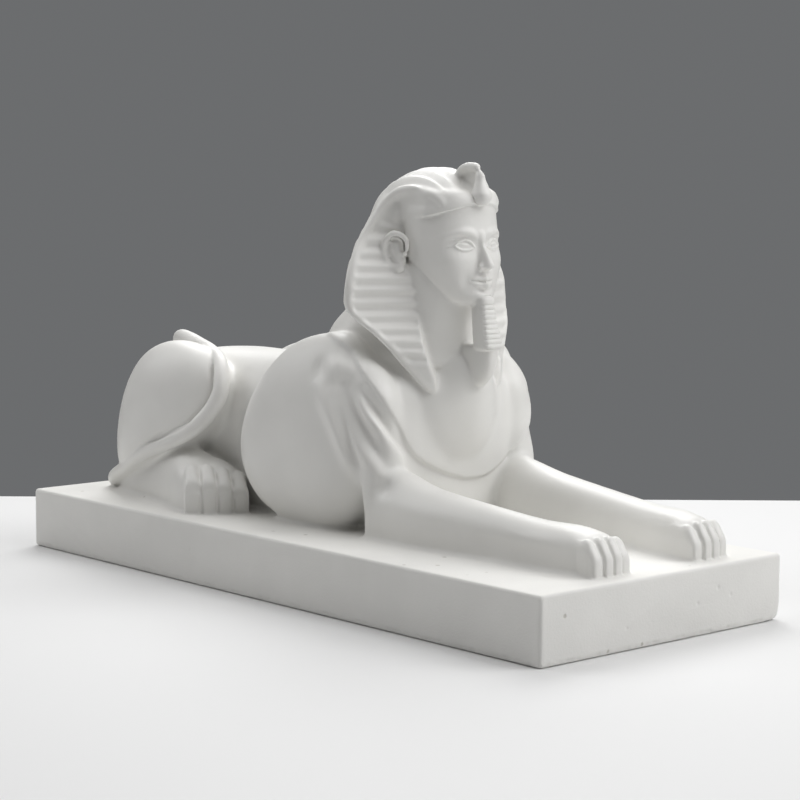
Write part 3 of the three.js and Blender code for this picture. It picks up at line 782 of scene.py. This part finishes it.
# The face is built on equal thirds: chin to nose, nose to brow, brow to the edge of the cloth.
chin, third, eyeX = 165.0, 19.2, 10.4
noseBase, brow = chin + third, chin + 2 * third
eye, mouth = brow - 5.6, noseBase - third / 3
face = {
    "head": [
        [164.4, -66], [165.2, 9, -74.6, -56, -64, 2.1], [169, 16, -76.8, -46, -58, 2.1],
        [176, 21, -76.4, -40, -54, 2.2], [184, 24.4, -75.8, -34, -49, 2.3], [193, 26.2, -75, -30, -46, 2.3],
        [202, 26.6, -74.2, -30, -45, 2.3], [211, 26.2, -73.2, -30, -44, 2.3],
        [219, 25.4, -71.6, -32, -44, 2.2], [226, -44],
    ],
    "neck": [
        [127, -40], [130, 28, -64, -20, -40, 2.2], [140, 27, -63, -20, -40, 2.2],
        [150, 26.4, -63, -18, -40, 2.2], [160, 26.4, -64.6, -18, -40, 2.2], [169, 26.6, -66, -18, -40, 2.3],
        [178, 27, -64, -20, -40, 2.4], [186, 26.4, -56, -22, -38, 2.4], [194, -36],
    ],
    "nose": [
        [noseBase - 1.2, -77], [noseBase - 0.2, 3.2, -80.8, -71, -77, 2.1],
        [noseBase + 2.4, 3.8, -82.8, -70, -77, 2.1], [noseBase + 5, 3.2, -82, -69, -76, 2.1],
        [noseBase + 10, 2.6, -79.2, -68, -75, 2.1], [brow - 5, 2.5, -76.4, -66, -73, 2.1],
        [brow + 1, 3, -75.2, -66, -72, 2], [brow + 4, -72],
    ],
    "nostril": [[3, -79, noseBase + 1.7, 1.9], [4.6, -76.6, noseBase + 2.1, 1.9]],
    "ear": [
        [29.6, -45, eye - 4, 1.2], [30, -45, eye + 2, 1.4], [31.4, -42.6, brow - 0.6, 1.6],
        [33.8, -37.8, brow + 0.4, 1.7], [35.8, -33.6, eye + 1.6, 1.7], [36, -32.6, eye - 5, 1.7],
        [34.6, -35.4, noseBase + 2.4, 1.9], [32, -40, noseBase, 2.2], [30.2, -43.2, noseBase + 2.4, 1.7],
    ],
    "earBack": [
        [28, -41.6, noseBase + 2.4, 3.2], [29.2, -39, noseBase + 4.6, 3.6], [30.4, -37, eye - 3, 4.2],
        [29.8, -38, eye + 3.4, 3.4],
    ],
    "tragus": [[29.8, -44.4, eye - 6.6, 1.5], [30.2, -43.2, eye - 4, 1.6]],
}


def makeWhole():
    mesh = bmesh.new()
    addBlock(mesh, 0, plinth["edge"])
    for rows, around, along in ((face["head"], 56, 72), (face["neck"], 56, 72), (face["nose"], 32, 40),
                                (beard["rows"], 48, 60), (beard["rest"], 40, 48),
                                (cobra["hood"], 28, 40), (cobra["fill"], 24, 30)):
        addLoft(mesh, rows, lying=False, around=around, along=along)
    addRope(mesh, cobra["loop"], along=60)
    addRope(mesh, tail["round"])
    for side in (-1, 1):
        addToes(mesh, side, frontToes)
        addToes(mesh, side, hindToes)
        for rows, around, along in ((face["nostril"], 14, 20), (face["earBack"], 16, 30),
                                    (face["ear"], 16, 60), (face["tragus"], 12, 16),
                                    (cobra["coil"], 14, 40)):
            addRope(mesh, rows, around, along, side)
    mesh.from_mesh(bodySkin)
    mesh.from_mesh(clothSkin)
    return fused(mesh, grain["fine"])


whole = withoutCrumbs(makeWhole())
print("whole fused", len(whole.vertices))


features = {
    "front": -58,
    # mounds and hollows: spot, size, height and, for one in the middle, a single side
    "first": [
        [[-eyeX, -72, eye + 0.2], [7.6, 12, 5], -3.2], [[-16, -66, noseBase + 5], [8, 10, 8], 1.5],
        [[0, -76, chin + 4.4], [6.4, 8, 4], 1.8, (1,)], [[0, -77, mouth - 5], [6, 6, 1.8], -1.2, (1,)],
        [[0, -77, mouth + 4.4], [1.6, 6, 2.4], -0.6, (1,)], [[-11, -74, mouth], [3, 8, 5], -0.9],
    ],
    "eyeball": [[-eyeX, -71, eye], [5.2, 12, 3.2], 2.5],
    "last": [
        [[-2.5, -79.4, noseBase - 0.2], [1.2, 1.6, 1], -1],
        [[-33.6, -39, eye - 1.6], [4, 2.4, 4.2], -1.6],
    ],
    # ridges and grooves: x, y, z, height, half width
    "soft": [
        [[2.4, 0, brow - 2, 0.7, 2.4], [7, 0, brow + 0.8, 1.7, 2.3], [13, 0, brow + 1.6, 1.7, 2.1],
         [19, 0, brow - 0.6, 0.9, 1.9], [22.5, 0, brow - 3, 0.2, 1.8]],
        [[0, 0, mouth + 1.7, 1.3, 1.7], [4, 0, mouth + 1.8, 1.2, 1.6], [8, 0, mouth + 0.6, 0.4, 1.3]],
        [[0, 0, mouth - 2.2, 1.9, 2], [4, 0, mouth - 1.9, 1.5, 1.8], [7.4, 0, mouth - 0.5, 0.3, 1.3]],
    ],
    "crisp": [
        [[eyeX - 5.6, 0, eye - 1, 0.3, 0.9], [eyeX - 3.2, 0, eye + 1.6, 1.1, 1.1],
         [eyeX, 0, eye + 2.8, 1.3, 1.2], [eyeX + 3.6, 0, eye + 2, 1.2, 1.1],
         [eyeX + 6, 0, eye + 0.2, 0.9, 1], [eyeX + 9, 0, eye - 0.8, 0.3, 0.9]],
        [[eyeX - 5.6, 0, eye - 1.1, 0.3, 0.8], [eyeX - 2.8, 0, eye - 2.3, 0.8, 1],
         [eyeX, 0, eye - 2.8, 0.9, 1], [eyeX + 3.4, 0, eye - 2.2, 0.8, 1],
         [eyeX + 5.8, 0, eye - 0.4, 0.5, 0.9]],
        [[0, 0, mouth, -1.2, 0.9], [4.5, 0, mouth + 0.2, -1.1, 0.9], [8.4, 0, mouth + 0.6, -0.8, 0.9]],
    ],
}


def shapeFace(skin):
    for mound in features["first"]:
        dab(skin, *mound)
    findNormals(skin)
    dab(skin, *features["eyeball"])
    findNormals(skin)
    for rows in features["soft"]:
        stroke(skin, rows, fromFront=features["front"])
    findNormals(skin)
    for rows in features["crisp"]:
        stroke(skin, rows, crisp=True, fromFront=features["front"])
    for mound in features["last"]:
        dab(skin, *mound)
    findNormals(skin)


# The band that holds the cloth round the brow
def bandBrow(skin):
    x, y, z = inOwnFrame(skin).T
    band = cloth["band"]
    edge = band["middle"] - band["drop"] * (x / band["reach"]) ** 2
    front = (1 - rise(y, *band["behind"])) * (1 - rise(z, *band["above"]))
    raiseBy(skin, band["rise"] * rise(z, edge + band["edge"][0], edge + band["edge"][1]) * front)


def bandBeard(skin):
    own = inOwnFrame(skin)
    band = beard["band"]
    x, y, z = np.abs(own[:, 0]), own[:, 1], own[:, 2]
    slant = z + band["slant"] * (y - band["slantFrom"])
    wave = np.abs(((slant - band["start"]) / band["pitch"]) % 1 - 0.5) * 2
    front = rise(-skin["normals"][:, 1], *band["facing"]) * (x < band["half"]) * (y < band["front"])
    front = front * (z > band["from"]) * (z < band["to"])
    raiseBy(skin, -band["depth"] * rise(wave, *band["groove"]) * front)


# Pits, and lumps between two of them: spot, size and height
pits = [
    [[40, -225, 24], [0.9, 1.5, 0.9], -0.8], [[24, -225, 17.5], [0.8, 1.5, 0.8], -0.8],
    [[50, -225, 19], [0.8, 1.5, 0.8], -0.7], [[-30, -225, 12], [0.7, 1.5, 0.7], -0.6],
    [[-91.4, 60, 20], [1.5, 0.8, 0.8], -0.6], [[91.4, -40, 22], [1.5, 0.9, 0.9], -0.7],
    [[-53.5, 45.6, 88.6], [1.6, 1.6, 1.2], 1.1], [[-58, 42.4, 82], [2.2, 2.4, 1], 1],
    [[-58, 40.2, 85.4], [1.4, 1.6, 1.2], -1], [[10, 225, 21], [0.9, 1.5, 0.9], -0.7],
    [[-50, 225, 14], [0.8, 1.5, 0.8], -0.6],
]


def weatherPlinth(skin):
    own = skin["points"]
    x, y, z = own.T
    side = (np.abs(skin["normals"][:, 2]) < 0.5) & (z < plinth["height"] + 0.5)
    # the lower edge is ragged, and the corner in front on the left is chipped
    long = np.sin(x * 0.31 + 1.3) * np.sin(y * 0.23 + 0.4)
    short = 0.6 * np.sin(x * 0.9 + y * 0.77) + 0.4 * np.sin(y * 1.9 - x * 1.4)
    worn, chip = plinth["ragged"], plinth["chip"]
    low = 1 - rise(z, worn["from"], worn["to"])
    raiseBy(skin, -worn["depth"] * low * side * np.clip(worn["even"] + long + short, 0, 2))
    away = np.linalg.norm((own - chip["spot"]) / chip["size"], axis=1)
    raiseBy(skin, -chip["depth"] * np.exp(-away ** 2))
    for spot, size, height in pits:
        away = (own - spot) / size
        raiseBy(skin, height * np.exp(-(away ** 2).sum(1)))


# Where the whole is finer: face, beard, front toes and hind toes
fineParts = [
    [[-1, 27], [-everywhere, -54], [162, 224]], [[-1, 9], [-everywhere, -68], [138, 167]],
    [[16, everywhere], [-everywhere, -190], [36.8, everywhere]], [[36, everywhere], [56, 98], [36.8, 68]],
]
# The last smoothing: of the whole, of places where forms meet, as spot and radius, and of the face
calm = {
    "whole": {"rounds": 3, "valley": 0.35, "crest": 0.15, "figure": 0.3, "foot": [0.2, 1.5]},
    "spots": [[[-42, 84, 121.5], 8], [[-26, -46, 218], 7], [[26, -46, 218], 7], [[0, 196, 60], 8]],
    "spotRounds": 12, "spotShare": 0.9,
    "face": {"box": [[-1, 24], [-everywhere, -60], [166, 213]], "rounds": 8, "valley": 0.9, "crest": 0.25},
    "end": 0.3,
}

whole = refined(whole, fineParts)
skin = readSkin(whole)
own = inOwnFrame(skin)
entire, foot = calm["whole"], calm["whole"]["foot"]
onFigure = entire["figure"] * rise(own[:, 2], plinth["height"] + foot[0], plinth["height"] + foot[1])
soften(skin, entire["rounds"], entire["valley"] + onFigure, entire["crest"] + onFigure)
for spot, radius in calm["spots"]:
    share = calm["spotShare"] * np.exp(-((own - spot) ** 2).sum(1) / radius ** 2)
    soften(skin, calm["spotRounds"], share, share)
around = calm["face"]
own[:, 0] = np.abs(own[:, 0])
nearFace = insideBoxes(own, [around["box"]])
soften(skin, around["rounds"], around["valley"] * nearFace, around["crest"] * nearFace)
findNormals(skin)
shapeFace(skin)
bandBrow(skin)
bandBeard(skin)
for side in (-1, 1):
    partToes(skin, side, frontToes)
    partToes(skin, side, hindToes)
stroke(skin, tail["line"], sides=(-1,))
findNormals(skin)
weatherPlinth(skin)
findNormals(skin)
soften(skin, 1, calm["end"], calm["end"])
findNormals(skin)


def finishedMesh(mesh):
    mesh.calc_loop_triangles()
    ratio = min(1.0, grain["triangles"] / len(mesh.loop_triangles))
    done = modified(mesh, "DECIMATE", decimate_type="COLLAPSE", ratio=ratio, use_collapse_triangulate=True)
    done.transform(Matrix.Scale(0.001, 4))
    done.shade_smooth()
    return done


statueMesh = finishedMesh(skin["mesh"])
statueMesh.name = "sphinxStatue"
statue = addObject("sphinxStatue", statueMesh)
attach(statue, "root")
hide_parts("sphinx_statue")
print("statue finished", len(statueMesh.polygons))


# The pore colour is painted shade: the plinth's pinholes are drawn darker than the plaster round them.
plaster = {
    "figure": (0.86, 0.852, 0.825, 1), "plinth": (0.84, 0.832, 0.805, 1), "paintedPoreShade": (0.60, 0.58, 0.54, 1),
    "figureRoughness": 0.36, "plinthRoughness": 0.82, "unevenRoughness": 0.12,
    "figureFrom": 0.0366, "figureTo": 0.039,
    "mottleScale": 22, "mottleRange": [0.35, 0.65], "mottleShade": [0.97, 1.02],
    "grainScale": 900, "grainOnFigure": 0.12,
    "poreScale": 160, "poreShare": 0.05, "poreEdge": [0.26, 0.10], "poreDepth": -3.0,
    "bump": 0.5, "bumpHeight": 0.0002,
}


# Adds a node. Each input is given a constant, an output to join, or a node whose first output to join.
def addNode(tree, kind, place, inputs={}, **settings):
    node = tree.nodes.new(kind if kind.startswith("NodeGroup") else "ShaderNode" + kind)
    node.location = place
    for name, value in settings.items():
        setattr(node, name, value)
    fill(tree, node, inputs)
    return node


def fill(tree, node, inputs):
    for name, value in inputs.items():
        if isinstance(value, bpy.types.Node):
            value = next(socket for socket in value.outputs if socket.enabled)
        if isinstance(value, bpy.types.NodeSocket):
            tree.links.new(value, node.inputs[name])
        else:
            node.inputs[name].default_value = value


# Small casting pores: a mask that is 1 inside a pore.
def poreGroup():
    group = bpy.data.node_groups.new("castingPores", "ShaderNodeTree")
    for name, way, kind in (("Place", "INPUT", "Vector"), ("Scale", "INPUT", "Float"),
                            ("Share", "INPUT", "Float"), ("Pore", "OUTPUT", "Float")):
        group.interface.new_socket(name, in_out=way, socket_type="NodeSocket" + kind)
    start = addNode(group, "NodeGroupInput", (-700, 0)).outputs
    cells = addNode(group, "TexVoronoi", (-450, 0), {
        "Vector": start["Place"], "Scale": start["Scale"],
    }, feature="F1").outputs
    pick = addNode(group, "SeparateColor", (-220, -150), {"Color": cells["Color"]})
    chosen = addNode(group, "Math", (0, -150), {0: pick, 1: start["Share"]}, operation="LESS_THAN")
    hole = addNode(group, "MapRange", (0, 60), {
        "From Min": plaster["poreEdge"][0], "From Max": plaster["poreEdge"][1], "Value": cells["Distance"],
    }, interpolation_type="SMOOTHSTEP")
    both = addNode(group, "Math", (250, 0), {0: hole, 1: chosen}, operation="MULTIPLY")
    addNode(group, "NodeGroupOutput", (500, 0), {"Pore": both})
    return group


def plasterMaterial():
    material = bpy.data.materials.new("plaster")
    material.use_nodes = True
    tree = material.node_tree
    place = addNode(tree, "TexCoord", (-1500, 0)).outputs["Object"]
    split = addNode(tree, "SeparateXYZ", (-1300, 300), {0: place})
    onFigure = addNode(tree, "MapRange", (-1100, 300), {
        "From Min": plaster["figureFrom"], "From Max": plaster["figureTo"], "Value": split.outputs["Z"],
    }, interpolation_type="SMOOTHSTEP")
    mottle = addNode(tree, "TexNoise", (-1100, 0), {
        "Scale": plaster["mottleScale"], "Detail": 5, "Vector": place,
    })
    fine = addNode(tree, "TexNoise", (-1100, -250), {
        "Scale": plaster["grainScale"], "Detail": 3, "Vector": place,
    })
    pores = addNode(tree, "Group", (-1100, -500), {
        "Scale": plaster["poreScale"], "Share": plaster["poreShare"], "Place": place,
    }, node_tree=poreGroup())
    base = addNode(tree, "Mix", (-800, 300), {
        "A": plaster["plinth"], "B": plaster["figure"], "Factor": onFigure,
    }, data_type="RGBA")
    shade = addNode(tree, "MapRange", (-800, 50), {
        "From Min": plaster["mottleRange"][0], "From Max": plaster["mottleRange"][1],
        "To Min": plaster["mottleShade"][0], "To Max": plaster["mottleShade"][1], "Value": mottle,
    })
    tinted = addNode(tree, "VectorMath", (-560, 250), {0: base, "Scale": shade}, operation="SCALE")
    # Pores on the plinth only: painted darker as the shade inside them, and sunk by the bump below.
    poreShadeAndDepth = addNode(tree, "Math", (-800, -450), {
        0: pores, 1: onFigure,
    }, operation="SUBTRACT", use_clamp=True)
    colour = addNode(tree, "Mix", (-330, 250), {
        "B": plaster["paintedPoreShade"], "Factor": poreShadeAndDepth, "A": tinted,
    }, data_type="RGBA")
    rough = addNode(tree, "MapRange", (-560, 0), {
        "To Min": plaster["plinthRoughness"], "To Max": plaster["figureRoughness"], "Value": onFigure,
    })
    uneven = addNode(tree, "Math", (-330, 0), {
        0: mottle, 1: plaster["unevenRoughness"], 2: rough,
    }, operation="MULTIPLY_ADD")
    matt = addNode(tree, "MapRange", (-800, -250), {
        "To Min": 1.0, "To Max": plaster["grainOnFigure"], "Value": onFigure,
    })
    grainHeight = addNode(tree, "Math", (-560, -250), {0: fine, 1: matt}, operation="MULTIPLY")
    height = addNode(tree, "Math", (-330, -300), {
        0: poreShadeAndDepth, 1: plaster["poreDepth"], 2: grainHeight,
    }, operation="MULTIPLY_ADD")
    bump = addNode(tree, "Bump", (-120, -250), {
        "Strength": plaster["bump"], "Distance": plaster["bumpHeight"], "Height": height,
    })
    fill(tree, tree.nodes["Principled BSDF"], {"Base Color": colour, "Roughness": uneven, "Normal": bump})
    return material


statueMesh.materials.clear()
statueMesh.materials.append(plasterMaterial())
print("plaster made")


stage = {
    "lookFrom": (-0.860, -0.9855, 0.2531), "yaw": 41.66, "pitch": 6.43, "roll": 0.31, "lens": 102.06,
    "sensor": 36, "clip": (0.05, 50), "lampAim": (0, -0.02, 0.1),
    "tableBehind": 0.31, "tableReach": 4.0, "tableThick": 0.03, "tableEdge": 0.004, "tableGap": 0.0001,
    "tableRoughness": 0.6,
    "table": (0.78, 0.78, 0.78, 1), "room": (0.148, 0.152, 0.156, 1), "dimRoom": (0.02, 0.02, 0.02, 1),
}
yaw, pitch, roll = (math.radians(stage[k]) for k in ("yaw", "pitch", "roll"))
away = Vector((math.sin(yaw) * math.cos(pitch), math.cos(yaw) * math.cos(pitch), -math.sin(pitch)))
right = Vector((math.cos(yaw), -math.sin(yaw), 0))
above = right.cross(away)
tilted = right * math.cos(roll) + above * math.sin(roll)
upward = above * math.cos(roll) - right * math.sin(roll)

lens = bpy.data.cameras.new("camera")
lens.sensor_width = stage["sensor"]
lens.lens = stage["lens"]
lens.clip_start, lens.clip_end = stage["clip"]
camera = addObject("camera", lens)
turn = Matrix((tilted, upward, -away)).transposed().to_4x4()
camera.matrix_world = Matrix.Translation(stage["lookFrom"]) @ turn
scene.camera = camera


def plainMaterial(name, colour, roughness):
    material = bpy.data.materials.new(name)
    material.use_nodes = True
    shader = material.node_tree.nodes["Principled BSDF"]
    shader.inputs["Base Color"].default_value = colour
    shader.inputs["Roughness"].default_value = roughness
    return material


def makeTable():
    mesh = bmesh.new()
    reach, thick = stage["tableReach"], stage["tableThick"]
    bmesh.ops.create_cube(mesh, size=1, matrix=Matrix.Diagonal((2 * reach, reach, thick, 1)))
    place = (0, stage["tableBehind"] - reach / 2, -thick / 2 - stage["tableGap"])
    bmesh.ops.translate(mesh, verts=mesh.verts[:], vec=place)
    bmesh.ops.rotate(mesh, verts=mesh.verts[:], matrix=Matrix.Rotation(-yaw, 3, "Z"))
    bevelAll(mesh, stage["tableEdge"])
    data = meshFrom(mesh, "table")
    data.materials.append(plainMaterial("table", stage["table"], stage["tableRoughness"]))
    return addObject("table", data)


makeTable()

world = bpy.data.worlds.new("room")
world.use_nodes = True
seen = addNode(world.node_tree, "LightPath", (-500, 0))
room = addNode(world.node_tree, "Mix", (-250, 0), {
    "A": stage["dimRoom"], "B": stage["room"], "Factor": seen.outputs["Is Camera Ray"],
}, data_type="RGBA")
fill(world.node_tree, world.node_tree.nodes["Background"], {"Color": room})
scene.world = world
scene.view_settings.view_transform = "Standard"

# Name, place, size and watts
lamps = [
    ("key", (1.1, -1.2, 1.2), 1.0, 14.5), ("front", (0.2, -1.2, 1.6), 1.0, 9),
    ("overhead", (0, 0, 1.7), 1.6, 10),
    ("backRight", (0.9, 0.9, 1.4), 1.2, 19), ("backLeft", (-0.9, 1.3, 1.2), 1.2, 10),
]
for name, place, size, watts in lamps:
    light = bpy.data.lights.new(name, "AREA")
    light.size, light.energy = size, watts
    holder = addObject(name, light)
    holder.location = place
    aim = Vector(stage["lampAim"]) - Vector(place)
    holder.rotation_euler = aim.to_track_quat("-Z", "Y").to_euler()
print("stage set")
